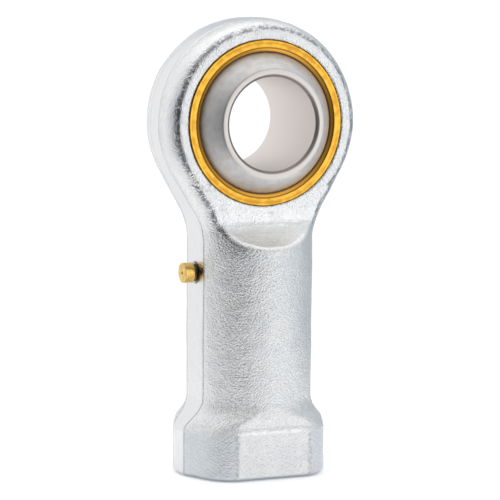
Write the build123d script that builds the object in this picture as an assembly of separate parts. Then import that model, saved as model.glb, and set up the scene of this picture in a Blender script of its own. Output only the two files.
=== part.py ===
"""Female rod end bearing, size 30, dimension series K, with a brass race and a press-in lubricator.

Millimetres. The origin is the ball's centre. The bore runs along Y, the shank points down along -Z,
and the lubricator is on the -X side.
"""

from build123d import *
import os
from math import cos, radians, sin, sqrt, tan

# Ball
BORE_D = 30.0
BALL_D = 50.8
BALL_WIDTH = 37.0
BORE_CHAMFER = 1.0

# Race
RACE_D = 52.8
BALL_CLEARANCE = 0.03
RACE_LIP = 0.9
GREASE_GROOVE_WIDTH = 5.0
GREASE_GROOVE_DEPTH = 0.35
GREASE_HOLE_D = 4.0

# Eye
EYE_D = 66.4
EYE_WIDTH = 25.0
EYE_EDGE_RADIUS = 3.2
FLASH_WIDTH = 6.6
FLASH_HEIGHT = 0.15
FLASH_LOW_Z = -22.0

# Neck
NECK_ANGLE = 31.0
NECK_RADIUS = 20.0
NECK_FOOT_Z = -38.0
NECK_CORNER_SLOPE = 0.508
SCOOP_TOP_Z = -31.5
SCOOP_BOTTOM_Z = -39.5
SCOOP_HOLLOW = 1.1
NECK_OVERLAP = 8.0

# Shank
SHANK_D = 40.4
STRIP_HALF_X = 19.1

# Collar
BASE_Z = -114.1
COLLAR_D = 50.3
COLLAR_STRIP_HALF_X = 24.85
COLLAR_FLARE_Z = -91.5
COLLAR_SHOULDER_Z = -98.0
COLLAR_FLARE_RADIUS = 8.0
COLLAR_SHOULDER_RADIUS = 5.0
COLLAR_RADII = {COLLAR_FLARE_Z: COLLAR_FLARE_RADIUS, COLLAR_SHOULDER_Z: COLLAR_SHOULDER_RADIUS}
COLLAR_FACET_ANGLE = 68.0
COLLAR_FACET_HALF = 24.5
COLLAR_CORNER_RADIUS = 9.3
FLAT_ACROSS = 41.0
FLAT_TOP_Z = -98.7
BASE_CHAMFER = 1.4

# Rod thread M30x2, drawn as its core hole
THREAD_CORE_D = 27.835
THREAD_MOUTH_D = 31.0
CORE_DEPTH = 53.1
DRILL_POINT_ANGLE = 118.0

# Lubricator
LUBE_Z = -48.5
LUBE_D = 6.5
LUBE_NECK_D = 5.6
LUBE_HEAD = 3.3
LUBE_FACE_X = -23.6
LUBE_END_X = -13.0
LUBE_SINK_D = 8.0
LUBE_SINK_DEPTH = 0.5
LUBE_EDGE_CHAMFER = 0.25
LUBE_DUCT_D = 3.0
INLET_D = 1.8
INLET_SINK_D = 2.5
SEAT_X = -22.2
CHAMBER_D = 2.9
CHAMBER_END_X = -14.2
OUTLET_D = 1.6
CHECK_BALL_D = 2.5
SEAT_GAP = 0.02
SPRING_MEAN_D = 2.1
SPRING_WIRE_D = 0.3
SPRING_PITCH = 0.85

# Reach of the tools that cut right through the body, and how near two corners count as the same
REACH = 40.0
NEAR = 1e-6

CHECK_BALL_X = SEAT_X + sqrt(CHECK_BALL_D**2 - INLET_D**2) / 2 + SEAT_GAP


def cylinder_y(diameter, length):
    """A cylinder about the bore's axis, centred on the origin."""
    return Rot(90, 0, 0) * Cylinder(diameter / 2, length)


def cylinder_z(diameter, low, high):
    """A cylinder about the shank's axis from low to high."""
    return Pos(0, 0, (low + high) / 2) * Cylinder(diameter / 2, high - low)


def lathe_y(points):
    """A solid turned about the bore's axis from (radius, y) points."""
    return revolve(make_face(Polyline(*points, close=True)), Axis.Y)


def lathe_lube(points):
    """A solid turned about the lubricator's axis from (x, radius) points."""
    profile = Plane.XZ * make_face(Polyline(*points, close=True))
    return Pos(0, 0, LUBE_Z) * revolve(profile, Axis.X)


def rounded_at(sketch, radii):
    """The sketch with its corners at each height, the second coordinate, rounded to that height's radius."""
    for height, radius in radii.items():
        sketch = fillet([v for v in sketch.vertices() if abs(v.Y - height) < NEAR], radius)
    return sketch


def front_outline():
    """The forging's outline seen along the bore: the eye, the neck, the shank's strips and the collar."""
    eye_r = EYE_D / 2
    lean = radians(NECK_ANGLE)
    touch_x, touch_z = eye_r * cos(lean), -eye_r * sin(lean)
    corner_z = touch_z - (touch_x - STRIP_HALF_X) / tan(lean)
    half = [
        (touch_x, touch_z),
        (STRIP_HALF_X, corner_z),
        (STRIP_HALF_X, COLLAR_FLARE_Z),
        (COLLAR_STRIP_HALF_X, COLLAR_SHOULDER_Z),
        (COLLAR_STRIP_HALF_X, BASE_Z),
    ]
    other = [(-x, z) for x, z in reversed(half)]
    sketch = make_face(Polyline(*half, *other, close=True))
    return rounded_at(sketch, {corner_z: NECK_RADIUS, **COLLAR_RADII}) + Circle(eye_r)


def eye_and_neck(outline):
    """The flat eye with the neck under it, its edges rounded and its lower corners running into the shank."""
    low = NECK_FOOT_Z - NECK_OVERLAP
    kept = outline & (Pos(0, (low + REACH) / 2) * Rectangle(2 * REACH, REACH - low))
    slab = Plane.XZ * extrude(kept, EYE_WIDTH / 2, both=True)
    rims = slab.faces().filter_by(Axis.Y).edges()
    rounded = fillet([edge for edge in rims if edge.center().Z > low + NEAR], EYE_EDGE_RADIUS)
    shank_r = SHANK_D / 2
    cone_top = NECK_FOOT_Z + (REACH - shank_r) / NECK_CORNER_SLOPE
    funnel = Polyline(
        (0, low), (shank_r, low), (shank_r, NECK_FOOT_Z),
        (REACH, cone_top), (REACH, REACH), (0, REACH), close=True,
    )
    return rounded & revolve(Plane.XZ * make_face(funnel), Axis.Z)


def flash_band():
    """The slightly raised parting-line band round the eye, which runs into the neck's flanks."""
    ring = cylinder_y(EYE_D + 2 * FLASH_HEIGHT, FLASH_WIDTH)
    return ring & Pos(0, 0, (FLASH_LOW_Z + REACH) / 2) * Box(2 * REACH, FLASH_WIDTH, REACH - FLASH_LOW_Z)


def collar_section(front_half):
    """The collar's rounded section: front and back at front_half from the middle, and four facets."""
    turn = radians(COLLAR_FACET_ANGLE)
    side_x = COLLAR_D / 2
    meet_x = (COLLAR_FACET_HALF - front_half * cos(turn)) / sin(turn)
    side_y = (COLLAR_FACET_HALF - side_x * sin(turn)) / cos(turn)
    quarter = [(meet_x, front_half), (side_x, side_y)]
    ring = quarter + [(x, -y) for x, y in reversed(quarter)]
    ring += [(-x, -y) for x, y in quarter] + [(-x, y) for x, y in reversed(quarter)]
    sketch = make_face(Polyline(*ring, close=True))
    return rounded_at(sketch, {front_half: COLLAR_CORNER_RADIUS, -front_half: COLLAR_CORNER_RADIUS})


def shank_and_collar(outline):
    """The round shank with its flare and collar, trimmed at the sides to the outline."""
    shank_r, collar_r = SHANK_D / 2, COLLAR_D / 2
    profile = make_face(
        Polyline(
            (0, -shank_r), (shank_r, -shank_r), (shank_r, COLLAR_FLARE_Z),
            (collar_r, COLLAR_SHOULDER_Z), (collar_r, BASE_Z), (0, BASE_Z), close=True,
        )
    )
    turned = revolve(Plane.XZ * rounded_at(profile, COLLAR_RADII), Axis.Z)
    flats = collar_section(FLAT_ACROSS / 2)
    pressed = extrude(Pos(0, 0, FLAT_TOP_Z) * collar_section(shank_r), -FLAT_TOP_Z)
    pressed += extrude(Pos(0, 0, FLAT_TOP_Z) * flats, BASE_Z + BASE_CHAMFER - FLAT_TOP_Z)
    body = turned & pressed & Plane.XZ * extrude(outline, REACH, both=True)
    foot = flats & Circle(collar_r) & Rectangle(2 * COLLAR_STRIP_HALF_X, FLAT_ACROSS)
    low = Pos(0, 0, BASE_Z) * scale(foot, 1 - BASE_CHAMFER / COLLAR_STRIP_HALF_X)
    high = Pos(0, 0, BASE_Z + BASE_CHAMFER) * foot
    return body + loft([low.face(), high.face()], ruled=True)


def scoop():
    """The tool that thins the shank's top to the eye's width: a flat that runs out in a hollow slope."""
    flat_y, rim_y = EYE_WIDTH / 2, SHANK_D / 2
    run, drop = rim_y - flat_y, SCOOP_TOP_Z - SCOOP_BOTTOM_Z
    slope = sqrt(run**2 + drop**2)
    mid_y = (flat_y + rim_y) / 2 - SCOOP_HOLLOW * drop / slope
    mid_z = (SCOOP_TOP_Z + SCOOP_BOTTOM_Z) / 2 - SCOOP_HOLLOW * run / slope
    hollow = ThreePointArc((flat_y, SCOOP_TOP_Z), (mid_y, mid_z), (rim_y, SCOOP_BOTTOM_Z))
    rest = Polyline(
        (rim_y, SCOOP_BOTTOM_Z), (REACH, SCOOP_BOTTOM_Z), (REACH, 0), (flat_y, 0), (flat_y, SCOOP_TOP_Z)
    )
    front = Plane.YZ * extrude(make_face(hollow + rest), REACH, both=True)
    return front + mirror(front, Plane.XZ)


def rod_hole():
    """The thread's core hole with its mouth chamfer, drill point and the grease duct above it."""
    core_r, mouth_r = THREAD_CORE_D / 2, THREAD_MOUTH_D / 2
    core_end = BASE_Z + CORE_DEPTH
    point = core_r / tan(radians(DRILL_POINT_ANGLE / 2))
    profile = Polyline(
        (0, BASE_Z), (mouth_r, BASE_Z), (core_r, BASE_Z + mouth_r - core_r),
        (core_r, core_end), (0, core_end + point), close=True,
    )
    drilled = revolve(Plane.XZ * make_face(profile), Axis.Z)
    return drilled + cylinder_z(GREASE_HOLE_D, core_end, 0)


def lubricator_hole():
    """The stepped hole from the shank's strip to the grease duct."""
    lube_r, sink_r, duct_r = LUBE_D / 2, LUBE_SINK_D / 2, LUBE_DUCT_D / 2
    return lathe_lube([
        (-REACH, 0), (-REACH, sink_r), (-STRIP_HALF_X, sink_r),
        (-STRIP_HALF_X + LUBE_SINK_DEPTH, lube_r), (LUBE_END_X, lube_r),
        (LUBE_END_X, duct_r), (0, duct_r), (0, 0),
    ])


def make_housing():
    outline = front_outline()
    body = (shank_and_collar(outline) - scoop()) + eye_and_neck(outline) + flash_band()
    return body - cylinder_y(RACE_D, 2 * REACH) - rod_hole() - lubricator_hole()


def make_race():
    outer_r, inner_r, half = RACE_D / 2, BALL_D / 2 + BALL_CLEARANCE, EYE_WIDTH / 2
    groove_r, groove_half = outer_r - GREASE_GROOVE_DEPTH, GREASE_GROOVE_WIDTH / 2
    face_r = sqrt(inner_r**2 - half**2)
    sleeve = cylinder_y(RACE_D, EYE_WIDTH) - Sphere(inner_r)
    groove = lathe_y([
        (groove_r, -groove_half), (RACE_D, -groove_half), (RACE_D, groove_half), (groove_r, groove_half),
    ])
    sleeve -= groove
    lip = lathe_y([(0, half - RACE_LIP), (face_r, half - RACE_LIP), (face_r + RACE_LIP, half), (0, half)])
    sleeve -= lip + mirror(lip, Plane.XZ)
    return sleeve - cylinder_z(GREASE_HOLE_D, -RACE_D, 0)


def make_ball():
    half, bore_r, chamfer_r = BALL_WIDTH / 2, BORE_D / 2, BORE_D / 2 + BORE_CHAMFER
    blank = lathe_y([
        (bore_r, BORE_CHAMFER - half), (chamfer_r, -half), (BALL_D, -half),
        (BALL_D, half), (chamfer_r, half), (bore_r, half - BORE_CHAMFER),
    ])
    return blank & Sphere(BALL_D / 2)


def make_lubricator_body():
    lube_r, chamber_r = LUBE_D / 2, CHAMBER_D / 2
    inlet_r, outlet_r, sink_r = INLET_D / 2, OUTLET_D / 2, INLET_SINK_D / 2
    neck_r, neck_top, neck_foot = LUBE_NECK_D / 2, LUBE_FACE_X + LUBE_HEAD, -STRIP_HALF_X + LUBE_SINK_DEPTH
    return lathe_lube([
        (LUBE_FACE_X, sink_r), (LUBE_FACE_X, lube_r - LUBE_EDGE_CHAMFER),
        (LUBE_FACE_X + LUBE_EDGE_CHAMFER, lube_r), (neck_top, lube_r), (neck_top, neck_r),
        (neck_foot, neck_r), (neck_foot, lube_r), (LUBE_END_X - LUBE_EDGE_CHAMFER, lube_r),
        (LUBE_END_X, lube_r - LUBE_EDGE_CHAMFER), (LUBE_END_X, outlet_r), (CHAMBER_END_X, outlet_r),
        (CHAMBER_END_X, chamber_r), (SEAT_X, chamber_r), (SEAT_X, inlet_r),
        (LUBE_FACE_X + sink_r - inlet_r, inlet_r),
    ])


def make_lubricator_ball():
    return Pos(CHECK_BALL_X, 0, LUBE_Z) * Sphere(CHECK_BALL_D / 2)


def make_lubricator_spring():
    reach = (CHECK_BALL_D + SPRING_WIRE_D) / 2
    start_x = CHECK_BALL_X + sqrt(reach**2 - (SPRING_MEAN_D / 2) ** 2) + SEAT_GAP
    end_x = CHAMBER_END_X - SPRING_WIRE_D / 2 - SEAT_GAP
    path = Helix(SPRING_PITCH, end_x - start_x, SPRING_MEAN_D / 2)
    wire = sweep(Plane(path @ 0, z_dir=path % 0) * Circle(SPRING_WIRE_D / 2), path, is_frenet=True)
    return Pos(start_x, 0, LUBE_Z) * Rot(0, 90, 0) * wire


os.makedirs("parts", exist_ok=True)
NODES = {
    "housing": make_housing,
    "race": make_race,
    "ball": make_ball,
    "lubricator_body": make_lubricator_body,
    "lubricator_ball": make_lubricator_ball,
    "lubricator_spring": make_lubricator_spring,
}
for node, make in NODES.items():
    export_step(make(), f"parts/{node}.step")
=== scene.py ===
"""A female rod end bearing: zinc-plated forged housing, brass race, ground steel ball, brass lubricator.

The housing is sculpted as a distance field and meshed. The turned pieces are lathed. Lengths are in
millimetres up to the meshes and the shaders, which take metres. The studio's own sizes are in metres.
"""

from math import atan2, cos, hypot, pi, radians, sin, sqrt, tan

import bpy
import numpy as np
import openvdb
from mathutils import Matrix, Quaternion, Vector


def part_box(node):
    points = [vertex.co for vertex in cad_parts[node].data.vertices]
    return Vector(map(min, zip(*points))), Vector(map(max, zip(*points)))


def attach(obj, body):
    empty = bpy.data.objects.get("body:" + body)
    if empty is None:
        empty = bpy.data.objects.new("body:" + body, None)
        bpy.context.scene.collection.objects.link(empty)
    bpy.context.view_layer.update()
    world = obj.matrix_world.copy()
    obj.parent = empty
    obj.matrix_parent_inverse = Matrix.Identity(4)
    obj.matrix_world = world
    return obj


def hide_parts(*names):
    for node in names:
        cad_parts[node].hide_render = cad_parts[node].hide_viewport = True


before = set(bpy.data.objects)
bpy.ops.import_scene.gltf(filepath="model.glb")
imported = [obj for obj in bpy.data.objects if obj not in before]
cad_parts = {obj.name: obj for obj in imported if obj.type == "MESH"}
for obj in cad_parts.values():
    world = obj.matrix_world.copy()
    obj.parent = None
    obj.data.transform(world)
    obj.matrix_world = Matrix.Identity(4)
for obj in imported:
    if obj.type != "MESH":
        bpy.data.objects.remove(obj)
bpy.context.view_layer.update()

MM = 0.001
TINY = 1e-9


def cad_box(node):
    """A CAD node's lowest and highest corners, in millimetres."""
    return [np.array(corner_shade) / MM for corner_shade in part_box(node)]


HOUSING_LOW, HOUSING_HIGH = cad_box("housing")
RACE_LOW, RACE_HIGH = cad_box("race")
BALL_LOW, BALL_HIGH = cad_box("ball")
LUBE_LOW, LUBE_HIGH = cad_box("lubricator_body")

# Sizes read from the frame
BASE_Z = HOUSING_LOW[2]
EYE_HALF = RACE_HIGH[1]
RACE_R = RACE_HIGH[0]
BALL_R = BALL_HIGH[2]
BALL_HALF = BALL_HIGH[1]
LUBE_Z = (LUBE_LOW[2] + LUBE_HIGH[2]) / 2
LUBE_R = LUBE_HIGH[1]

# Eye and neck
EYE_R = 33.3
FLASH_HALF = 3.3
FLASH_STEP = 0.16
FLASH_EDGE = 0.5
DRAFT = 0.06
EDGE_RADIAL = 4.2
EDGE_AXIAL = 6.3
EDGE_CROWN = 0.17
FACE_BLEND = 0.3
NECK_LEAN = radians(31)
NECK_RADIUS = 20.0
NECK_FOOT_Z = -38.0
NECK_CORNER_SLOPE = 0.508
NECK_BLEND = 3.0
NECK_TAIL = 6.0
NECK_TAIL_BLEND = 4.0

# The scoop that thins the shank's top to the eye's width
SCOOP_TOP_Z = -31.5
SCOOP_BOTTOM_Z = -39.5
SCOOP_HOLLOW = 1.1
SCOOP_TOP_BLEND = 0.5
SCOOP_BLEND = 1.2

# Shank: the flash widens into the flat side strip between two heights
SHANK_R = 20.3
SHANK_TOP_Z = -26.0
SHANK_TOP_BLEND = 2.0
BODY_BLEND = 0.6
STRIP_X = 19.13
STRIP_HALF_Y = 6.75
STRIP_BLEND = 0.4
STRIP_GROOVE = 0.3
STRIP_GROOVE_WIDTH = 0.4
WIDENING_Z = (-12.0, -36.0)

# Collar
COLLAR_R = 25.35
COLLAR_STRIP_X = 24.85
COLLAR_STRIP_HALF_Y = 4.4
COLLAR_FLARE_Z = -91.5
COLLAR_FLARE_RADIUS = 8.0
COLLAR_SHOULDER_Z = -98.0
COLLAR_SHOULDER_RADIUS = 5.0
COLLAR_CORNER_RADIUS = 12.5
FLAT_Y = 20.45
FLAT_BEND = 0.3
FLAT_TOP_Z = -98.7
FLAT_LEDGE = 0.45
FLAT_LEDGE_HEIGHT = 2.0
FLAT_BLEND = 1.0
FACET_ANGLE = radians(68)
FACET_HALF = 24.65
BASE_CHAMFER = 1.4
FOOT_BLEND = 0.4

# Race
RACE_FACE_R = 24.15
RACE_LIP_R = 22.65
RACE_LIP_DROP = 0.55
RACE_EDGE = 0.2
RACE_FACE_EDGE = 0.3
RACE_LIP_EDGE = 0.1
GROOVE_HALF = 2.5
GROOVE_DEPTH = 0.35
BALL_GAP = 0.03
SEAT_STEPS = 48

# Ball
BORE_R = 15.0
BORE_CHAMFER = 1.0
BORE_EDGE = 0.15
BORE_MOUTH_EDGE = 0.12
BALL_RIM_IN = 0.2
BALL_RIM_UP = 0.1
BALL_STEPS = 96
BALL_AROUND = 360

# Rod hole and its thread
THREAD_CORE_R = 13.9175
THREAD_WALL_R = 15.3
THREAD_MOUTH_R = 15.5
THREAD_PITCH = 2.0
THREAD_START = 1.1
THREAD_END = 1.6
THREAD_FADE_TURNS = 0.7
THREAD_SINK = 0.15
THREAD_ROOT_HALF = 0.93
THREAD_CREST_HALF = 0.25
THREAD_STEPS = 72
CORE_END_Z = BASE_Z + 53.1
DRILL_HALF_ANGLE = radians(59)

# Other holes
DUCT_R = 2.0
LUBE_DUCT_R = 1.5
LUBE_SINK_R = 3.6
LUBE_SINK_DEPTH = 0.6
HOLE_GAP = 0.03
SEAT_CHAMFER = 0.45
HOLE_BLEND = 0.3
LUBE_HOLE_BLEND = 0.25

# Lubricator
LUBE_HEAD = 3.3
LUBE_NECK_R = 2.75
LUBE_INLET_R = 0.4
LUBE_MOUTH_R = 0.62
LUBE_MOUTH_DEPTH = 0.3
LUBE_MOUTH_EDGE = 0.05
LUBE_FACE_EDGE = 0.2
LUBE_HEAD_EDGE = 0.12
LUBE_NECK_EDGE = 0.1
LUBE_TAIL_CHAMFER = 0.25
LUBE_AROUND = 96
OUTLET_R = 0.8
CHAMBER_R = 1.45
CHAMBER_TOP_X = -22.2
CHAMBER_END_X = -14.2
VALVE_SEAT_R = 0.9
VALVE_SEAT_X = -22.6

# Forging relief: height, pitch and seed of each layer
RELIEF_LAYERS = ((0.05, 7.0, 11), (0.035, 1.8, 12))

# Sculpting grid and turning steps
CELL = 0.3
PAD_CELLS = 3
GRID_HALF_X = 34.0
GRID_HALF_Y = 21.5
GRID_TOP_Z = 34.0
FIELD_BACKGROUND = 3.0
FAR = 60.0
BOX_MARGIN = 0.04
OUTLINE_STEPS = 16
LATHE_STEPS = 5
LATHE_GUARD = 0.05
LATHE_AROUND = 256

# Zinc: noise scales per metre, bump depths in metres
CLOUD_SCALE = 90
GRAIN_SCALE = 1700
FINE_SCALE = 3600
PIT_SCALE = 1500
WAVER_SCALE = 260
# Noise that breaks up the painted highlight on the ledges
LEDGE_HIGHLIGHT_SCALE = 500
# Noise that breaks up the painted shade on the eye's edge
EDGE_SHADE_SCALE = 700
GRAIN_DEPTH = 0.00042
FINE_DEPTH = 0.00004
ZINC_ROUGHNESS = (0.08, 0.16)
ZINC_BLUISH = (0.73, 0.735, 0.75)
ZINC_PALE = (0.79, 0.79, 0.785)
PIT_COLOUR = (0.30, 0.32, 0.35)
# Painted shade: a darker colour for the collar's facets
FACET_SHADE_COLOUR = (0.63, 0.655, 0.685)
# Painted shade: a darker colour for the corners between the facets and the flats
CORNER_SHADE_COLOUR = (0.42, 0.43, 0.45)
STRIP_COLOUR = (0.68, 0.685, 0.695)
# Painted highlight: the bright colour laid on the ledges, scoops and faces
PAINTED_HIGHLIGHT_COLOUR = (0.88, 0.88, 0.88)
# Painted shade: a dark line along the strip's stepped edges
LINE_SHADE_COLOUR = (0.22, 0.24, 0.27)
# Painted shade: a dark colour on the eye's rounded edge beside each face
EDGE_SHADE_COLOUR = (0.36, 0.37, 0.39)
# Painted shadow: a near-black ring on the zinc round the race
SEAT_SHADOW_COLOUR = (0.07, 0.06, 0.05)
# Painted shade: a dark bluish colour on the foot's chamfer
FOOT_SHADE_COLOUR = (0.42, 0.47, 0.53)

# Noise turned into masks: a range of noise, then the range of strength it becomes
CLOUD_NOISE = (0.35, 0.65, 0, 1)
PIT_NOISE = (0.6, 0.7, 0, 0.45)
EDGE_SHADE_NOISE = (0.42, 0.55, 0, 1)
LEDGE_HIGHLIGHT_NOISE = (0.35, 0.6, 0.15, 0.8)
LINE_NOISE = (0.35, 0.6, 0.3, 1)
CORNER_NOISE = (0.4, 0.58, 0.1, 0.8)
GRAIN_NOISE = (0.35, 0.65)

# Marks on the zinc: each pair is where a mark starts and where it is full
WAVER = 0.5
# Where the painted shade line along the strip's edges lies and how strong it is
LINE_WAVER = 0.4
STRIP_SIDE = (0.3, -0.3)
LINE_SIDE = (0.55, 0.1)
LINE_Z = (-14.0, -34.0)
LINE_STRENGTH = (0.25, 0.9)
NARROWING_Z = (-90.0, -98.0)
# Where the painted shade on the collar's facets and their corners lies
FACET_X = (12.2, 13.6)
FACET_Z = (-98.2, -99.6)
CORNER_X = 12.7
CORNER_SIDE = (1.1, 0.2)
# Painted highlight: where the bright colour is laid on the ledges above the flats, the scoops and the faces
# above them
LEDGE_LOW_Z = (-99.4, -98.5)
LEDGE_HIGH_Z = (-97.2, -98.2)
LEDGE_Y = (19.0, 19.6)
LEDGE_X = (13.0, 9.0)
SCOOP_HIGHLIGHT_R = (20.2, 20.0)
SCOOP_HIGHLIGHT_Z = (-41.5, -40.5)
SCOOP_HIGHLIGHT_Y = (12.8, 13.2)
SCOOP_LOW_RIM_R = (18.7, 19.4)
SCOOP_TOP_RIM_Y = (14.4, 13.4)
SCOOP_INSIDE_HIGHLIGHT = 0.4
FACE_HIGHLIGHT_Y = (12.2, 12.4)
FACE_HIGHLIGHT_Z = (-20.0, -30.0)
FACE_HIGHLIGHT_FOOT_Z = (-33.0, -31.5)
FACE_HIGHLIGHT = 0.3
# Where the painted shade on the eye's edge lies
EDGE_OUTER_Y = (12.42, 12.3)
EDGE_INNER_Y = (11.0, 11.9)
EDGE_Z = (-36.0, -30.0)
# Where the painted shadow round the race lies
SEAT_RING_R = (RACE_R + 0.2, RACE_R + 0.1)
# Where the painted shade on the foot's chamfer lies
FOOT_SHADE_Z = (BASE_Z + 1.3, BASE_Z + 0.7)
SMOOTHER_Z = (-44.0, -36.0)
EYE_GRAIN = 0.7
STRIP_GRAIN = 0.3
# Grain strength where the painted highlight lies
PAINTED_HIGHLIGHT_GRAIN = 0.6

# Turned metals
BRASS = (0.75, 0.43, 0.056)
BRASS_DARK = (0.58, 0.285, 0.034)
LUBE_BRASS = (0.76, 0.52, 0.15)
LUBE_BRASS_DARK = (0.6, 0.38, 0.1)
STEEL = (0.67, 0.655, 0.645)
STEEL_DARK = (0.59, 0.58, 0.575)
THREAD_STEEL = (0.62, 0.64, 0.66)
THREAD_STEEL_DARK = (0.5, 0.52, 0.55)
CHECK_BALL_STEEL = (0.7, 0.7, 0.7)
SPRING_STEEL = (0.5, 0.5, 0.52)
HELD_DARKER = 0.8
HELD_ROUGHNESS = 0.2
RING_SCALE = 4000.0
RACE_RING_SCALE = 1900.0
THREAD_RING_SCALE = 3000.0
RING_DEPTH = 0.000002
STAIN_SCALE = 420
STAIN_SHARE = 0.65
STAIN_NOISE = (0.44, 0.58, 0, 1)
RING_NOISE = (0.3, 0.7)
ROUGHNESS_SPREAD = (-0.05, 0.07)
DRAWN = 0.7
RACE_ROUGHNESS = 0.26
BALL_ROUGHNESS = 0.46
BALL_DRAWN = 0.3
BALL_METALLIC = 0.75
LUBE_ROUGHNESS = 0.22
THREAD_ROUGHNESS = 0.3

# Marks on the turned metals, in pairs as above
LIP_COLOUR = (0.66, 0.33, 0.05)
LIP_R = (RACE_FACE_R + 0.05, RACE_FACE_R - 0.15)
# Painted shade: two dark rings at the edges of the race's lip
RING_SHADE_COLOUR = (0.13, 0.06, 0.02)
SHADE_RINGS_R = (RACE_FACE_R - 0.2, RACE_LIP_R + 0.15)
SHADE_RING_SIDE = (0.3, 0.1)
SHADE_RING_STRENGTH = 0.75
# Painted light: a lighter colour for the ball's bore and faces
BORE_LIGHT_COLOUR = (0.76, 0.705, 0.675)
BORE_LIGHT_R = (17.5, 17.35)
# Painted shade: a dark rim at the bore's chamfer
RIM_SHADE_COLOUR = (0.24, 0.22, 0.21)
RIM_Y = (17.3, 17.6)
RIM_R = (15.85, 15.65)
RIM_STRENGTH = 0.85
# Painted shade: a near-black colour on the lubricator's neck in its recess
LUBE_NECK_SHADE_COLOUR = (0.16, 0.12, 0.08)
LUBE_NECK_X = (LUBE_LOW[0] + LUBE_HEAD - 0.15, LUBE_LOW[0] + LUBE_HEAD + 0.1)

# Camera
CAMERA_AZIMUTH = radians(-23.98)
CAMERA_ELEVATION = radians(6.22)
CAMERA_ROLL = radians(0.39)
CAMERA_TARGET = Vector((0, 0, -35.36)) * MM
CAMERA_DISTANCE = 0.859
CAMERA_SENSOR = 36.0
CAMERA_LENS = 190.8
CAMERA_SHIFT = (0.0009, -0.041)
CAMERA_CLIP = (0.01, 20)

# Brightness of the studio's walls by azimuth in degrees, 0 at the front and 90 at the right
WALLS = (
    (-180, 1.04), (-163, 1.15), (-140, 1.1), (-118, 0.88), (-92, 0.86), (-66, 0.0),
    (-22, 0.0), (-4, 0.58), (8, 1.15), (20, 1.58), (32, 1.58), (48, 0.88),
    (62, 0.74), (85, 0.68), (120, 0.68), (155, 0.74), (167, 0.84), (180, 1.04),
)
WALL_TINT = (0.42, 0.19, 0.0)
FRONT_CEILING = 0.55
BACK_CEILING = 1.25
CEILING_EDGE = (0.45, 0.75)
CEILING_MIDDLE = (-0.45, -0.1)
BACKDROP = 1.05
SOFTBOX_PLACE = (0, -0.1, 0.9)
SOFTBOX_SIZE = 0.7
SOFTBOX_POWER = 0.5
FLOOR_R = 0.14
FLOOR_SIDES = 96
FLOOR_WHITE = 0.9
FLOOR_ROUGHNESS = 0.9
FLOOR_GLOW = 0.36


def smooth_max(a, b, width):
    """The larger of two fields, with the crease between them rounded over the width."""
    close = np.maximum(width - np.abs(a - b), 0) / width
    return np.maximum(a, b) + close * close * width / 4


def smooth_min(a, b, width):
    """The smaller of two fields, rounded the same way."""
    return -smooth_max(-a, -b, width)


def smooth_step(low, high, value):
    """A smooth rise from 0 at low to 1 at high."""
    t = np.clip((value - low) / (high - low), 0, 1)
    return t * t * (3 - 2 * t)


def rounded(corners, steps=10, guard=0.0):
    """Points along a polyline of (u, v, radius) corners, each corner rounded to its radius."""
    points = []
    for i, (u, v, radius) in enumerate(corners):
        here = np.array((u, v), float)
        if radius == 0:
            points.append(tuple(here))
            continue
        before = np.array(corners[i - 1][:2], float) - here
        after = np.array(corners[(i + 1) % len(corners)][:2], float) - here
        before /= hypot(*before)
        after /= hypot(*after)
        half = np.arccos(np.clip(before @ after, -1, 1)) / 2
        reach = radius / tan(half)
        middle = here + (before + after) / hypot(*(before + after)) * radius / sin(half)
        start, end = here + before * reach - middle, here + after * reach - middle
        swing = atan2(start[0] * end[1] - start[1] * end[0], start @ end)
        if guard:
            points.append(tuple(middle + start + before * guard))
        for k in range(steps + 1):
            a = swing * k / steps
            turn = np.array(((cos(a), -sin(a)), (sin(a), cos(a))))
            points.append(tuple(middle + turn @ start))
        if guard:
            points.append(tuple(middle + end + after * guard))
    return points


def polygon_distance(points, u, v):
    """Signed distance to a closed polygon on a flat grid, negative inside."""
    nearest = np.full(np.broadcast(u, v).shape, FAR**2)
    inside = np.zeros(nearest.shape, bool)
    for (au, av), (bu, bv) in zip(points, points[1:] + points[:1]):
        eu, ev = bu - au, bv - av
        along = np.clip(((u - au) * eu + (v - av) * ev) / (eu * eu + ev * ev + TINY), 0, 1)
        nearest = np.minimum(nearest, (u - au - eu * along) ** 2 + (v - av - ev * along) ** 2)
        if av != bv:
            inside ^= ((av > v) != (bv > v)) & (u < eu * (v - av) / ev + au)
    return np.where(inside, -1, 1) * np.sqrt(nearest)


def lattice_noise(axes, pitch, seed):
    """Smooth random relief of about unit height: a seeded lattice blurred by a cubic spline."""
    counts = [int((axis[-1] - axis[0]) / pitch) + 5 for axis in axes]
    field = np.random.default_rng(seed).standard_normal(counts)
    for axis in axes:
        place = (axis - axis[0]) / pitch + 1
        base = np.floor(place).astype(int)
        t = place - base
        weights = np.zeros((len(axis), field.shape[0]))
        rows = np.arange(len(axis))
        for offset, weight in (
            (-1, (1 - t) ** 3 / 6),
            (0, (3 * t**3 - 6 * t**2 + 4) / 6),
            (1, (-3 * t**3 + 3 * t**2 + 3 * t + 1) / 6),
            (2, t**3 / 6),
        ):
            weights[rows, base + offset] = weight
        field = np.moveaxis(np.tensordot(weights, field, (1, 0)), 0, -1)
    return (field / field.std()).astype(np.float32)


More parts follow.
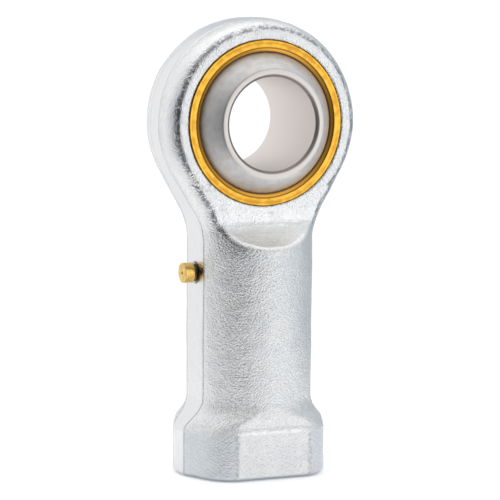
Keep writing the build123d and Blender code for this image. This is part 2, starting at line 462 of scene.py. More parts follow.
def forging_outline():
    """The forging's outline below the eye, seen along the bore."""
    touch_x, touch_z = EYE_R * cos(NECK_LEAN), -EYE_R * sin(NECK_LEAN)
    corner_z = touch_z - (touch_x - STRIP_X) / tan(NECK_LEAN)
    half = rounded([
        (touch_x, touch_z, 0),
        (STRIP_X, corner_z, NECK_RADIUS),
        (STRIP_X, COLLAR_FLARE_Z, COLLAR_FLARE_RADIUS),
        (COLLAR_STRIP_X, COLLAR_SHOULDER_Z, COLLAR_SHOULDER_RADIUS),
        (COLLAR_STRIP_X, BASE_Z - FAR, 0),
    ], steps=OUTLINE_STEPS)
    return half + [(-px, pz) for px, pz in reversed(half)]


def collar_section(front):
    """The collar's section: a front and a back at a distance from the middle, and four shallow facets."""
    meet_x = (FACET_HALF - front * cos(FACET_ANGLE)) / sin(FACET_ANGLE)
    tip_x = FACET_HALF / sin(FACET_ANGLE)
    return rounded([
        (meet_x, front, COLLAR_CORNER_RADIUS), (tip_x, 0, 0), (meet_x, -front, COLLAR_CORNER_RADIUS),
        (-meet_x, -front, COLLAR_CORNER_RADIUS), (-tip_x, 0, 0), (-meet_x, front, COLLAR_CORNER_RADIUS),
    ])


def eye_and_neck(x, y, z, outline):
    """A proud parting-line flash, draft beside it, elliptical edges, corners that run into the shank."""
    ay = np.abs(y)
    beside = ay - FLASH_HALF - (STRIP_HALF_Y - FLASH_HALF) * smooth_step(*WIDENING_Z, z)
    side = outline + FLASH_STEP * smooth_step(0, FLASH_EDGE, beside) + DRAFT * np.maximum(beside, 0)
    q = np.maximum(side + EDGE_RADIAL, 0) / EDGE_RADIAL
    p = np.maximum(ay - EYE_HALF - EDGE_CROWN + EDGE_AXIAL, 0) / EDGE_AXIAL
    h = np.hypot(q, p)
    head = (h - 1) * h / np.sqrt((q / EDGE_RADIAL) ** 2 + (p / EDGE_AXIAL) ** 2 + TINY)
    head = np.where((q > 0) | (p > 0), head, np.maximum(side, ay - EYE_HALF))
    head = smooth_max(head, ay - EYE_HALF, FACE_BLEND)
    cone = np.hypot(x, y) - SHANK_R - NECK_CORNER_SLOPE * (z - NECK_FOOT_Z)
    head = smooth_max(head, cone / hypot(1, NECK_CORNER_SLOPE), NECK_BLEND)
    return smooth_max(head, NECK_FOOT_Z - NECK_TAIL - z, NECK_TAIL_BLEND)


def turned_reach(z):
    """The radius of the shank and the collar's round part at each height."""
    turned = rounded([
        (SHANK_R, 0, 0),
        (SHANK_R, COLLAR_FLARE_Z, COLLAR_FLARE_RADIUS),
        (COLLAR_R, COLLAR_SHOULDER_Z, COLLAR_SHOULDER_RADIUS),
        (COLLAR_R, BASE_Z - FAR, 0),
    ], steps=OUTLINE_STEPS)
    heights = np.array([point[1] for point in turned])[::-1]
    radii = np.array([point[0] for point in turned])[::-1]
    return np.interp(z, heights, radii)


def scoop(ay, z):
    """The scoop's inside: a hollow slope below a flat."""
    run, drop = SHANK_R - EYE_HALF, SCOOP_TOP_Z - SCOOP_BOTTOM_Z
    slant = hypot(run, drop)
    slope_radius = slant**2 / (8 * SCOOP_HOLLOW) + SCOOP_HOLLOW / 2
    lift = (slope_radius - SCOOP_HOLLOW) / slant
    hollow_y = (EYE_HALF + SHANK_R) / 2 + lift * drop
    hollow_z = (SCOOP_TOP_Z + SCOOP_BOTTOM_Z) / 2 + lift * run
    hollow = np.hypot(ay - hollow_y, z - hollow_z) - slope_radius
    above = np.maximum(EYE_HALF - ay, SCOOP_TOP_Z - z)
    return smooth_min(hollow, above, SCOOP_TOP_BLEND)


def seat_and_holes(body, x, y, z):
    """The body with the race's seat, the rod's hole, the grease duct and the lubricator's hole cut out."""
    radius = np.hypot(x, y)
    seat = np.hypot(x, z) - RACE_R - HOLE_GAP
    seat = np.minimum(seat, (seat - SEAT_CHAMFER + EYE_HALF - np.abs(y)) / sqrt(2))
    body = smooth_max(body, -seat, HOLE_BLEND)
    hole = np.maximum(radius - THREAD_WALL_R, z - CORE_END_Z)
    point = (radius + (z - CORE_END_Z) * tan(DRILL_HALF_ANGLE) - THREAD_CORE_R) * cos(DRILL_HALF_ANGLE)
    mouth = (radius - THREAD_MOUTH_R - (BASE_Z - z)) / sqrt(2)
    hole = np.minimum(np.minimum(hole, np.maximum(point, radius - THREAD_CORE_R)), mouth)
    duct = np.maximum(radius - DUCT_R, z)
    hole = np.minimum(hole, np.maximum(duct, CORE_END_Z - z))
    body = smooth_max(body, -hole, HOLE_BLEND)
    bore = np.hypot(y, z - LUBE_Z)
    fitted = np.maximum(bore - LUBE_R - HOLE_GAP, x - LUBE_HIGH[0])
    fitted = np.minimum(fitted, np.maximum(bore - LUBE_DUCT_R, x))
    fitted = np.minimum(fitted, np.maximum(bore - LUBE_SINK_R, x + STRIP_X - LUBE_SINK_DEPTH))
    return smooth_max(body, -fitted, LUBE_HOLE_BLEND)


def housing_field():
    """The housing's signed distance in millimetres on the sculpting grid, and the grid's axes."""
    spans = ((-GRID_HALF_X, GRID_HALF_X), (-GRID_HALF_Y, GRID_HALF_Y), (BASE_Z, GRID_TOP_Z))
    axes = [np.arange(low - PAD_CELLS * CELL, high + (PAD_CELLS + 1) * CELL, CELL) for low, high in spans]
    x = axes[0][:, None, None]
    y = axes[1][None, :, None]
    z = axes[2][None, None, :]
    ay = np.abs(y)
    radius = np.hypot(x, y)
    outline = np.minimum(polygon_distance(forging_outline(), x, z), np.hypot(x, z) - EYE_R)
    head = eye_and_neck(x, y, z, outline)

    # Shank and collar, with a ledge above each flat
    reach = turned_reach(z)
    slope = np.gradient(reach[0, 0], CELL)[None, None, :]
    shank = (radius - reach) / np.sqrt(1 + slope**2)
    pressed = np.maximum(polygon_distance(collar_section(FLAT_Y + FLAT_BEND), x, y), ay - FLAT_Y)
    ledge_top = FLAT_TOP_Z + FLAT_LEDGE_HEIGHT
    ledge = FLAT_LEDGE * smooth_step(FLAT_TOP_Z, ledge_top, z)
    ledge = ledge - 2 * FLAT_LEDGE * smooth_step(ledge_top, COLLAR_FLARE_Z, z)
    shank = smooth_max(shank, pressed + ledge, FLAT_BLEND)
    shank = smooth_max(shank, outline, STRIP_BLEND)
    shank = smooth_max(shank, -scoop(ay, z), SCOOP_BLEND)
    shank = smooth_max(shank, z - SHANK_TOP_Z, SHANK_TOP_BLEND)
    body = smooth_min(shank, head, BODY_BLEND)
    for height, pitch, seed in RELIEF_LAYERS:
        body = body - height * lattice_noise(axes, pitch, seed)

    # The line where the trimmed strip meets the round shank and collar
    crease = np.abs(outline) + np.abs(radius - reach)
    body = body + STRIP_GROOVE * np.exp(-((crease / STRIP_GROOVE_WIDTH) ** 2)) * (z < NECK_FOOT_Z)

    # Foot, chamfered all round
    chamfer = BASE_Z + BASE_CHAMFER - z
    body = smooth_max(body, (pressed + chamfer) / sqrt(2), FOOT_BLEND)
    body = smooth_max(body, (radius - COLLAR_R + chamfer) / sqrt(2), FOOT_BLEND)
    body = smooth_max(body, BASE_Z + BOX_MARGIN - z, FOOT_BLEND)
    for distance, limit in ((np.abs(x), HOUSING_HIGH[0]), (ay, HOUSING_HIGH[1]), (z, HOUSING_HIGH[2])):
        body = np.maximum(body, distance - limit + BOX_MARGIN)
    return seat_and_holes(body, x, y, z).astype(np.float32), axes


def mesh_object(name, points, faces):
    """A smooth-shaded object from points in millimetres and an array of four-sided faces."""
    mesh = bpy.data.meshes.new(name)
    mesh.vertices.add(len(points))
    mesh.vertices.foreach_set("co", (np.asarray(points, np.float32) * MM).ravel())
    mesh.loops.add(faces.size)
    mesh.loops.foreach_set("vertex_index", faces.astype(np.int32).ravel())
    mesh.polygons.add(len(faces))
    mesh.polygons.foreach_set("loop_start", np.arange(0, faces.size, faces.shape[1], dtype=np.int32))
    mesh.polygons.foreach_set("use_smooth", np.ones(len(faces), bool))
    mesh.update(calc_edges=True)
    mesh.validate()
    made = bpy.data.objects.new(name, mesh)
    bpy.context.scene.collection.objects.link(made)
    return made


def make_outward(made):
    """Turns a closed mesh's faces outward."""
    mesh = made.data
    volume = sum(
        (mesh.vertices[p.vertices[0]].co.cross(mesh.vertices[p.vertices[1]].co)).dot(
            mesh.vertices[p.vertices[2]].co) for p in mesh.polygons
    )
    if volume < 0:
        mesh.flip_normals()


def lathe(name, corners, axis, height=0.0, around=LATHE_AROUND):
    """A solid turned about an axis from a closed ring of (radius, along, rounding) corners."""
    profile = np.array(rounded(corners, steps=LATHE_STEPS, guard=LATHE_GUARD))
    turns = np.arange(around) * 2 * pi / around
    radius, along = profile[:, 0], profile[:, 1]
    first = radius[None, :] * np.cos(turns)[:, None]
    second = radius[None, :] * np.sin(turns)[:, None]
    run = np.broadcast_to(along, first.shape)
    if axis == "Y":
        points = np.stack((first, run, second), -1)
    else:
        points = np.stack((run, first, second + height), -1)
    n = len(profile)
    i, j = np.meshgrid(np.arange(around), np.arange(n), indexing="ij")
    a, b = i * n + j, i * n + (j + 1) % n
    c, d = ((i + 1) % around) * n + (j + 1) % n, ((i + 1) % around) * n + j
    faces = np.stack((a, b, c, d), -1).reshape(-1, 4)
    made = mesh_object(name, points.reshape(-1, 3), faces)
    make_outward(made)
    return made


def make_housing():
    """The forging, meshed from its field."""
    field, axes = housing_field()
    grid = openvdb.FloatGrid(FIELD_BACKGROUND)
    grid.copyFromArray(field)
    points, quads = grid.convertToQuads(0.0)
    origin = np.array([axis[0] for axis in axes])
    return mesh_object("housing_forging", points * CELL + origin, quads)


def make_thread():
    """The helical ridge of the M30x2 thread, standing in from the wall of the rod's hole."""
    low, high = BASE_Z + THREAD_START, CORE_END_Z - THREAD_END
    count = int((high - low) / THREAD_PITCH * THREAD_STEPS)
    rows = np.arange(count + 1)
    angle = rows * 2 * pi / THREAD_STEPS
    z = low + rows * THREAD_PITCH / THREAD_STEPS
    run_in = THREAD_FADE_TURNS * THREAD_STEPS
    full = np.minimum(smooth_step(0, run_in, rows), smooth_step(count, count - run_in, rows))
    crest = THREAD_WALL_R - (THREAD_WALL_R - THREAD_CORE_R) * full
    root = np.full(len(rows), THREAD_WALL_R + THREAD_SINK)
    ring = [
        np.stack((radius * np.cos(angle), radius * np.sin(angle), z + lift), -1)
        for lift, radius in (
            (-THREAD_ROOT_HALF, root), (-THREAD_CREST_HALF, crest),
            (THREAD_CREST_HALF, crest), (THREAD_ROOT_HALF, root),
        )
    ]
    points = np.stack(ring, 1).reshape(-1, 3)
    faces = [(4 * i + j, 4 * i + (j + 1) % 4, 4 * i + 4 + (j + 1) % 4, 4 * i + 4 + j)
             for i in range(count) for j in range(4)]
    faces += [(3, 2, 1, 0), (4 * count, 4 * count + 1, 4 * count + 2, 4 * count + 3)]
    made = mesh_object("rod_thread", points, np.array(faces))
    make_outward(made)
    for polygon in made.data.polygons:
        polygon.use_smooth = False
    return made


def sphere_run(radius, low, high, count):
    """Points (ring radius, along, no rounding) on a sphere between two places along its axis."""
    return [(sqrt(radius**2 - y * y), y, 0) for y in np.linspace(low, high, count)]


def make_race():
    """The brass race: a grease groove outside, a spherical seat between two lips inside."""
    inner_r = BALL_R + BALL_GAP
    seat_end = sqrt(inner_r**2 - RACE_LIP_R**2)
    groove_r = RACE_R - GROOVE_DEPTH
    corners = [
        (RACE_R, -EYE_HALF, RACE_EDGE), (RACE_R, -GROOVE_HALF, 0), (groove_r, -GROOVE_HALF, 0),
        (groove_r, GROOVE_HALF, 0), (RACE_R, GROOVE_HALF, 0), (RACE_R, EYE_HALF, RACE_EDGE),
        (RACE_FACE_R, EYE_HALF, RACE_FACE_EDGE), (RACE_LIP_R, EYE_HALF - RACE_LIP_DROP, RACE_LIP_EDGE),
    ]
    corners += sphere_run(inner_r, seat_end, -seat_end, SEAT_STEPS)
    corners += [(RACE_LIP_R, RACE_LIP_DROP - EYE_HALF, RACE_LIP_EDGE)]
    corners += [(RACE_FACE_R, -EYE_HALF, RACE_FACE_EDGE)]
    return lathe("race_ring", corners, "Y")


def make_ball():
    """The ball: a sphere between two flat faces, with a chamfered bore."""
    mouth_r = BORE_R + BORE_CHAMFER
    rim_r = sqrt(BALL_R**2 - BALL_HALF**2) - BALL_RIM_IN
    sphere_end = BALL_HALF - BALL_RIM_UP
    corners = [(BORE_R, -BALL_HALF + BORE_CHAMFER, BORE_EDGE), (mouth_r, -BALL_HALF, BORE_MOUTH_EDGE)]
    corners += [(rim_r, -BALL_HALF, 0)]
    corners += sphere_run(BALL_R, -sphere_end, sphere_end, BALL_STEPS)
    corners += [(rim_r, BALL_HALF, 0), (mouth_r, BALL_HALF, BORE_MOUTH_EDGE)]
    corners += [(BORE_R, BALL_HALF - BORE_CHAMFER, BORE_EDGE)]
    return lathe("ball_ground", corners, "Y", around=BALL_AROUND)


def make_lubricator():
    """The press-in lubricator: a turned head, a neck above the strip and a hollow body in the shank."""
    face, end = LUBE_LOW[0], LUBE_HIGH[0]
    neck_top, neck_foot = face + LUBE_HEAD, LUBE_SINK_DEPTH - STRIP_X
    corners = [
        (LUBE_INLET_R, face + LUBE_MOUTH_DEPTH, 0), (LUBE_MOUTH_R, face, LUBE_MOUTH_EDGE),
        (LUBE_R, face, LUBE_FACE_EDGE), (LUBE_R, neck_top, LUBE_HEAD_EDGE),
        (LUBE_NECK_R, neck_top, LUBE_NECK_EDGE), (LUBE_NECK_R, neck_foot, LUBE_NECK_EDGE),
        (LUBE_R, neck_foot, LUBE_NECK_EDGE), (LUBE_R, end - LUBE_TAIL_CHAMFER, 0),
        (LUBE_R - LUBE_TAIL_CHAMFER, end, 0), (OUTLET_R, end, 0), (OUTLET_R, CHAMBER_END_X, 0),
        (CHAMBER_R, CHAMBER_END_X, 0), (CHAMBER_R, CHAMBER_TOP_X, 0), (VALVE_SEAT_R, CHAMBER_TOP_X, 0),
        (LUBE_INLET_R, VALVE_SEAT_X, 0),
    ]
    return lathe("lubricator_turned", corners, "X", LUBE_Z, around=LUBE_AROUND)


def add(tree, kind, inputs=None, **settings):
    """A shader node with its settings, and its inputs linked or set."""
    node = tree.nodes.new(kind)
    for key, value in settings.items():
        setattr(node, key, value)
    for key, value in (inputs or {}).items():
        if isinstance(value, bpy.types.NodeSocket):
            tree.links.new(value, node.inputs[key])
        else:
            node.inputs[key].default_value = value
    return node


def new_material(name, metallic=1.0):
    """A material, its node tree, its shader and the object's own coordinates."""
    made = bpy.data.materials.new(name)
    made.use_nodes = True
    tree = made.node_tree
    shader = tree.nodes["Principled BSDF"]
    shader.inputs["Metallic"].default_value = metallic
    place = add(tree, "ShaderNodeTexCoord").outputs["Object"]
    return made, tree, shader, place


def calc(tree, operation, first, second=0.0):
    """The result of a math node."""
    return add(tree, "ShaderNodeMath", {0: first, 1: second}, operation=operation).outputs[0]


def product(tree, first, *others):
    """All the values multiplied together."""
    for other in others:
        first = calc(tree, "MULTIPLY", first, other)
    return first


def split(tree, vector):
    """A vector's parts, by the names X, Y and Z."""
    return add(tree, "ShaderNodeSeparateXYZ", {"Vector": vector}).outputs


def noise(tree, place, scale, detail=3.0, roughness=0.55):
    """Noise of mean 0.5."""
    return add(tree, "ShaderNodeTexNoise", {
        "Vector": place, "Scale": scale, "Detail": detail, "Roughness": roughness,
    }).outputs["Fac"]


def ramp(tree, value, low, high, to_low, to_high):
    """A value carried from one range to another, held at the ends."""
    return add(tree, "ShaderNodeMapRange", {
        "Value": value, "From Min": low, "From Max": high, "To Min": to_low, "To Max": to_high,
    }).outputs["Result"]


def rise(tree, length, start, full, least=0.0, most=1.0):
    """The least where a length is at the start and the most where it is at full, both in millimetres."""
    return ramp(tree, length, start * MM, full * MM, least, most)


def blend_colours(tree, factor, first, second):
    """The second of two colours over the first, each a socket or plain numbers."""
    mix = add(tree, "ShaderNodeMix", data_type="RGBA")
    tree.links.new(factor, mix.inputs["Factor"])
    for socket, colour in ((mix.inputs[6], first), (mix.inputs[7], second)):
        if isinstance(colour, bpy.types.NodeSocket):
            tree.links.new(colour, socket)
        else:
            socket.default_value = (*colour, 1)
    return mix.outputs[2]


def bump(tree, height, depth, strength=1.0, normal=None):
    """A normal bent by a height, over an earlier one where it is given."""
    inputs = {"Height": height, "Distance": depth, "Strength": strength}
    if normal is not None:
        inputs["Normal"] = normal
    return add(tree, "ShaderNodeBump", inputs).outputs["Normal"]


def around_axis(tree, place, axis):
    """The distance from an axis through the origin."""
    parts = split(tree, place)
    others = [parts[name] for name in "XYZ" if name != axis]
    joined = add(tree, "ShaderNodeCombineXYZ", {"X": others[0], "Y": others[1]}).outputs["Vector"]
    return add(tree, "ShaderNodeVectorMath", {0: joined}, operation="LENGTH").outputs["Value"]


def strip_marks(tree, out, z, waver, grain):
    """Where the trimmed strip is, and the broken dark line of painted shade along its two sides."""
    widening = rise(tree, z, *WIDENING_Z, FLASH_HALF * MM, STRIP_HALF_Y * MM)
    narrowing = rise(tree, z, *NARROWING_Z, 0, (STRIP_HALF_Y - COLLAR_STRIP_HALF_Y) * MM)
    beside = calc(tree, "SUBTRACT", out, calc(tree, "SUBTRACT", widening, narrowing))
    strip = rise(tree, calc(tree, "ADD", beside, waver), *STRIP_SIDE)
    away = calc(tree, "ABSOLUTE", calc(tree, "ADD", beside, product(tree, waver, LINE_WAVER)))
    shade_line = product(
        tree, rise(tree, away, *LINE_SIDE), rise(tree, z, *LINE_Z, *LINE_STRENGTH),
        ramp(tree, grain, *LINE_NOISE),
    )
    return strip, shade_line


def facet_shade_marks(tree, parts, waver, grain):
    """Painted shade on the collar's facets, and darker, speckled painted shade on their corners with the
    flats.
    """
    across = calc(tree, "ADD", calc(tree, "ABSOLUTE", parts["X"]), waver)
    below = rise(tree, parts["Z"], *FACET_Z)
    facet_shade = product(tree, rise(tree, across, *FACET_X), below)
    away = calc(tree, "ABSOLUTE", calc(tree, "SUBTRACT", across, CORNER_X * MM))
    corner_shade = product(tree, rise(tree, away, *CORNER_SIDE), below, ramp(tree, grain, *CORNER_NOISE))
    return facet_shade, corner_shade


def painted_highlight_marks(tree, place, parts, out):
    """Painted highlight: where the zinc is painted bright, on the ledges above the flats, the scoops and
    the faces above them.
    """
    z = parts["Z"]
    ledge = product(
        tree, rise(tree, z, *LEDGE_LOW_Z), rise(tree, z, *LEDGE_HIGH_Z), rise(tree, out, *LEDGE_Y),
        rise(tree, calc(tree, "ABSOLUTE", parts["X"]), *LEDGE_X),
        ramp(tree, noise(tree, place, LEDGE_HIGHLIGHT_SCALE), *LEDGE_HIGHLIGHT_NOISE),
    )
    reach = around_axis(tree, place, "Z")
    hollow = product(
        tree, rise(tree, reach, *SCOOP_HIGHLIGHT_R), rise(tree, z, *SCOOP_HIGHLIGHT_Z), rise(tree, out, *SCOOP_HIGHLIGHT_Y)
    )
    low_rim = rise(tree, reach, *SCOOP_LOW_RIM_R, least=SCOOP_INSIDE_HIGHLIGHT)
    top_rim = rise(tree, out, *SCOOP_TOP_RIM_Y, least=SCOOP_INSIDE_HIGHLIGHT)
    hollow = product(tree, hollow, calc(tree, "MAXIMUM", low_rim, top_rim))
    face = product(
        tree, rise(tree, out, *FACE_HIGHLIGHT_Y), rise(tree, z, *FACE_HIGHLIGHT_Z, most=FACE_HIGHLIGHT),
        rise(tree, z, *FACE_HIGHLIGHT_FOOT_Z),
    )
    return calc(tree, "MAXIMUM", calc(tree, "MAXIMUM", ledge, hollow), face)


def zinc_material():
    """Zinc over a tumbled forging: crinkled grain and smoother trimmed strips, with painted highlights on
    bright edges and ledges, and painted shade on dark corners, edges and sides.
    """
    made, tree, shader, place = new_material("zinc_plated_forging")
    parts = split(tree, place)
    z = parts["Z"]
    out = calc(tree, "ABSOLUTE", parts["Y"])
    grain = noise(tree, place, GRAIN_SCALE, roughness=0.6)
    fine = noise(tree, place, FINE_SCALE, detail=2, roughness=0.6)
    waver = ramp(tree, noise(tree, place, WAVER_SCALE), 0, 1, -WAVER * MM, WAVER * MM)
    # The strip, and a line of painted shade along its edges
    strip, shade_line = strip_marks(tree, out, z, waver, grain)
    # Painted shade on the collar's facets and on their corners with the flats
    facet_shade, corner_shade = facet_shade_marks(tree, parts, waver, grain)
    # Painted highlight on the ledges, the scoops and the faces above them
    wear_and_highlight = painted_highlight_marks(tree, place, parts, out)
    cloud = ramp(tree, noise(tree, place, CLOUD_SCALE, detail=4), *CLOUD_NOISE)
    pits = ramp(tree, noise(tree, place, PIT_SCALE, roughness=0.7), *PIT_NOISE)
    edge_shade_breakup = ramp(tree, noise(tree, place, EDGE_SHADE_SCALE, detail=4), *EDGE_SHADE_NOISE)
    # Painted shade on the eye's rounded edge beside its faces, broken up by noise
    edge_shade = product(
        tree, rise(tree, out, *EDGE_OUTER_Y), rise(tree, out, *EDGE_INNER_Y), rise(tree, z, *EDGE_Z), edge_shade_breakup
    )
    # Painted shadow in the gap round the race, on the zinc beside it
    seat = rise(tree, around_axis(tree, place, "Y"), *SEAT_RING_R)
    colour = blend_colours(tree, cloud, ZINC_BLUISH, ZINC_PALE)
    # Among the marks laid on below, the bright one on the ledges, scoops and faces is a painted highlight;
    # the facet, corner, line, edge, seat and foot marks are painted shade
    for mark, tone in (
        (pits, PIT_COLOUR), (facet_shade, FACET_SHADE_COLOUR), (corner_shade, CORNER_SHADE_COLOUR), (strip, STRIP_COLOUR),
        (wear_and_highlight, PAINTED_HIGHLIGHT_COLOUR), (shade_line, LINE_SHADE_COLOUR), (edge_shade, EDGE_SHADE_COLOUR), (seat, SEAT_SHADOW_COLOUR),
        (rise(tree, z, *FOOT_SHADE_Z), FOOT_SHADE_COLOUR),
    ):
        colour = blend_colours(tree, mark, colour, tone)
    strength = product(
        tree, ramp(tree, strip, 0, 1, 1, STRIP_GRAIN), rise(tree, z, *SMOOTHER_Z, 1, EYE_GRAIN),
        ramp(tree, wear_and_highlight, 0, 1, 1, PAINTED_HIGHLIGHT_GRAIN),
    )
    rough = bump(tree, grain, GRAIN_DEPTH, strength)
    tree.links.new(colour, shader.inputs["Base Color"])
    tree.links.new(ramp(tree, grain, *GRAIN_NOISE, *ZINC_ROUGHNESS), shader.inputs["Roughness"])
    tree.links.new(bump(tree, fine, FINE_DEPTH, strength, rough), shader.inputs["Normal"])
    return made


def turned_material(
    name, colour, dark, axis, roughness, ring_scale=RING_SCALE, drawn=DRAWN, metallic=1.0, mark=None
):
    """A turned metal: fine rings about its axis, faint stains, and marks laid over them."""
    made, tree, shader, place = new_material(name, metallic)
    radius = around_axis(tree, place, axis)
    along = split(tree, place)[axis]
    rings = add(tree, "ShaderNodeCombineXYZ", {"X": radius, "Y": along}).outputs["Vector"]
    lines = noise(tree, rings, ring_scale, detail=2)
    stain = noise(tree, place, STAIN_SCALE, detail=5)
    wear_and_highlight = calc(tree, "ADD", product(tree, stain, STAIN_SHARE), product(tree, lines, 1 - STAIN_SHARE))
    shade = blend_colours(tree, ramp(tree, wear_and_highlight, *STAIN_NOISE), colour, dark)
    if mark:
        shade = mark(tree, place, radius, shade)
    tree.links.new(shade, shader.inputs["Base Color"])
    smoothest, roughest = (roughness + spread for spread in ROUGHNESS_SPREAD)
    tree.links.new(ramp(tree, lines, *RING_NOISE, smoothest, roughest), shader.inputs["Roughness"])
    tree.links.new(bump(tree, lines, RING_DEPTH), shader.inputs["Normal"])
    shader.inputs["Anisotropic"].default_value = drawn
    tangent = add(tree, "ShaderNodeTangent", direction_type="RADIAL", axis=axis).outputs["Tangent"]
    tree.links.new(tangent, shader.inputs["Tangent"])
    return made


def mark_race(tree, place, radius, colour):
    """Darker brown on the lip beside the ball, with two darker rings of painted shade at the lip's two
    edges.
    """
    colour = blend_colours(tree, rise(tree, radius, *LIP_R), colour, LIP_COLOUR)
    # Two rings of painted shade at the lip's edges
    for ring_r in SHADE_RINGS_R:
        away = calc(tree, "ABSOLUTE", calc(tree, "SUBTRACT", radius, ring_r * MM))
        shade_line = rise(tree, away, *SHADE_RING_SIDE, most=SHADE_RING_STRENGTH)
        colour = blend_colours(tree, shade_line, colour, RING_SHADE_COLOUR)
    return colour


def mark_ball(tree, place, radius, colour):
    """Painted light: a brighter bore and face inside a duller sphere. Painted shade: a dark rim at the
    bore's chamfer.
    """
    colour = blend_colours(tree, rise(tree, radius, *BORE_LIGHT_R), colour, BORE_LIGHT_COLOUR)
    depth = calc(tree, "ABSOLUTE", split(tree, place)["Y"])
    rim = product(tree, rise(tree, depth, *RIM_Y), rise(tree, radius, *RIM_R, most=RIM_STRENGTH))
    return blend_colours(tree, rim, colour, RIM_SHADE_COLOUR)


def mark_lubricator(tree, place, radius, colour):
    """Painted shade: dark from the neck down, where it sits in its recess."""
    below = rise(tree, split(tree, place)["X"], *LUBE_NECK_X)
    return blend_colours(tree, below, colour, LUBE_NECK_SHADE_COLOUR)


def held_material(name, colour):
    """Steel for the small pieces kept from the CAD."""
    return turned_material(name, colour, tuple(HELD_DARKER * c for c in colour), "X", HELD_ROUGHNESS)


def floor_material():
    """A matt white that glows a little, so that the floor stays pale under the dark parts of the studio."""
    made, tree, shader, place = new_material("pale_floor", 0.0)
    shader.inputs["Base Color"].default_value = (FLOOR_WHITE, FLOOR_WHITE, FLOOR_WHITE, 1)
    shader.inputs["Roughness"].default_value = FLOOR_ROUGHNESS
    shader.inputs["Emission Color"].default_value = (1, 1, 1, 1)
    shader.inputs["Emission Strength"].default_value = FLOOR_GLOW
    return made


def make_softbox():
    """A soft square light above the part, aimed at the origin."""
    data = bpy.data.lights.new("softbox_top", "AREA")
    data.shape = "RECTANGLE"
    data.size, data.size_y = SOFTBOX_SIZE, SOFTBOX_SIZE
    data.energy = SOFTBOX_POWER
    made = bpy.data.objects.new("softbox_top", data)
    made.location = SOFTBOX_PLACE
    made.rotation_mode = "QUATERNION"
    made.rotation_quaternion = (-Vector(SOFTBOX_PLACE)).to_track_quat("-Z", "Y")
    bpy.context.scene.collection.objects.link(made)


def studio_world():
    """White walls all round with grey flats between them: the brightness follows the compass direction."""
    world = bpy.data.worlds.new("studio")
    bpy.context.scene.world = world
    world.use_nodes = True
    tree = world.node_tree
    parts = split(tree, add(tree, "ShaderNodeTexCoord").outputs["Generated"])
    angle = calc(tree, "ARCTAN2", parts["X"], product(tree, parts["Y"], -1.0))
    walls = add(tree, "ShaderNodeValToRGB", {"Fac": ramp(tree, angle, -pi, pi, 0, 1)})
    stops = walls.color_ramp.elements
    walls.color_ramp.interpolation = "EASE"
    while len(stops) < len(WALLS):
        stops.new(1.0)
    for stop, (azimuth, level) in zip(stops, WALLS):
        stop.position = (azimuth + 180) / 360
        stop.color = (*(level * (1 - max(1 - level, 0) * tint) for tint in WALL_TINT), 1)
    middle = ramp(tree, parts["Y"], *CEILING_MIDDLE, 0, 1)
    ceiling = blend_colours(tree, middle, (FRONT_CEILING,) * 3, (BACK_CEILING,) * 3)
    lit = blend_colours(tree, ramp(tree, parts["Z"], *CEILING_EDGE, 0, 1), walls.outputs["Color"], ceiling)
    seen = add(tree, "ShaderNodeLightPath").outputs["Is Camera Ray"]
    colour = blend_colours(tree, seen, lit, (BACKDROP,) * 3)
    tree.links.new(colour, tree.nodes["Background"].inputs["Color"])


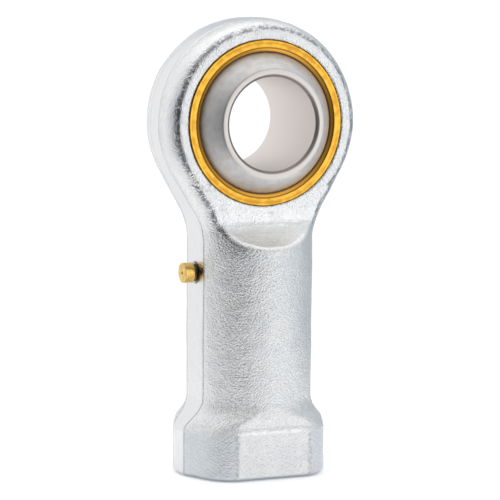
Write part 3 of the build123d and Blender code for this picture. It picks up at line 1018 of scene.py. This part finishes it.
def make_camera():
    """The scene's camera, at the photo's angle."""
    data = bpy.data.cameras.new("camera")
    data.sensor_width = CAMERA_SENSOR
    data.lens = CAMERA_LENS
    data.shift_x, data.shift_y = CAMERA_SHIFT
    data.clip_start, data.clip_end = CAMERA_CLIP
    made = bpy.data.objects.new("camera", data)
    back = Vector((
        sin(CAMERA_AZIMUTH) * cos(CAMERA_ELEVATION),
        -cos(CAMERA_AZIMUTH) * cos(CAMERA_ELEVATION),
        sin(CAMERA_ELEVATION),
    ))
    made.location = CAMERA_TARGET + back * CAMERA_DISTANCE
    made.rotation_mode = "QUATERNION"
    aim = (-back).to_track_quat("-Z", "Y")
    made.rotation_quaternion = aim @ Quaternion((0, 0, 1), CAMERA_ROLL)
    bpy.context.scene.collection.objects.link(made)
    bpy.context.scene.camera = made


def make_floor():
    """A round pale table top."""
    turns = [k * 2 * pi / FLOOR_SIDES for k in range(FLOOR_SIDES)]
    rim = [(FLOOR_R * cos(a), FLOOR_R * sin(a), BASE_Z * MM) for a in turns]
    mesh = bpy.data.meshes.new("floor")
    mesh.from_pydata(rim, [], [tuple(range(FLOOR_SIDES))])
    made = bpy.data.objects.new("floor", mesh)
    made.data.materials.append(floor_material())
    bpy.context.scene.collection.objects.link(made)


def place_piece(made, material, body, node):
    """Gives a piece its material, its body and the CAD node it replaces."""
    made.data.materials.clear()
    made.data.materials.append(material)
    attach(made, body)
    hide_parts(node)


zinc = zinc_material()
cut_thread = turned_material(
    "cut_thread", THREAD_STEEL, THREAD_STEEL_DARK, "Z", THREAD_ROUGHNESS, THREAD_RING_SCALE
)
race_brass = turned_material(
    "race_brass_turned", BRASS, BRASS_DARK, "Y", RACE_ROUGHNESS, RACE_RING_SCALE, mark=mark_race
)
ball_steel = turned_material(
    "ball_steel_ground", STEEL, STEEL_DARK, "Y", BALL_ROUGHNESS, drawn=BALL_DRAWN, metallic=BALL_METALLIC,
    mark=mark_ball,
)
lubricator_brass = turned_material(
    "lubricator_brass_turned", LUBE_BRASS, LUBE_BRASS_DARK, "X", LUBE_ROUGHNESS, mark=mark_lubricator
)
place_piece(make_housing(), zinc, "housing", "housing")
place_piece(make_thread(), cut_thread, "housing", "housing")
place_piece(make_race(), race_brass, "housing", "race")
place_piece(make_ball(), ball_steel, "ball", "ball")
place_piece(make_lubricator(), lubricator_brass, "housing", "lubricator_body")
for node, colour in (("lubricator_ball", CHECK_BALL_STEEL), ("lubricator_spring", SPRING_STEEL)):
    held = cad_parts[node]
    held.data.materials.clear()
    held.data.materials.append(held_material(node + "_steel", colour))

make_floor()
make_camera()
studio_world()
make_softbox()
bpy.context.scene.view_settings.view_transform = "Standard"
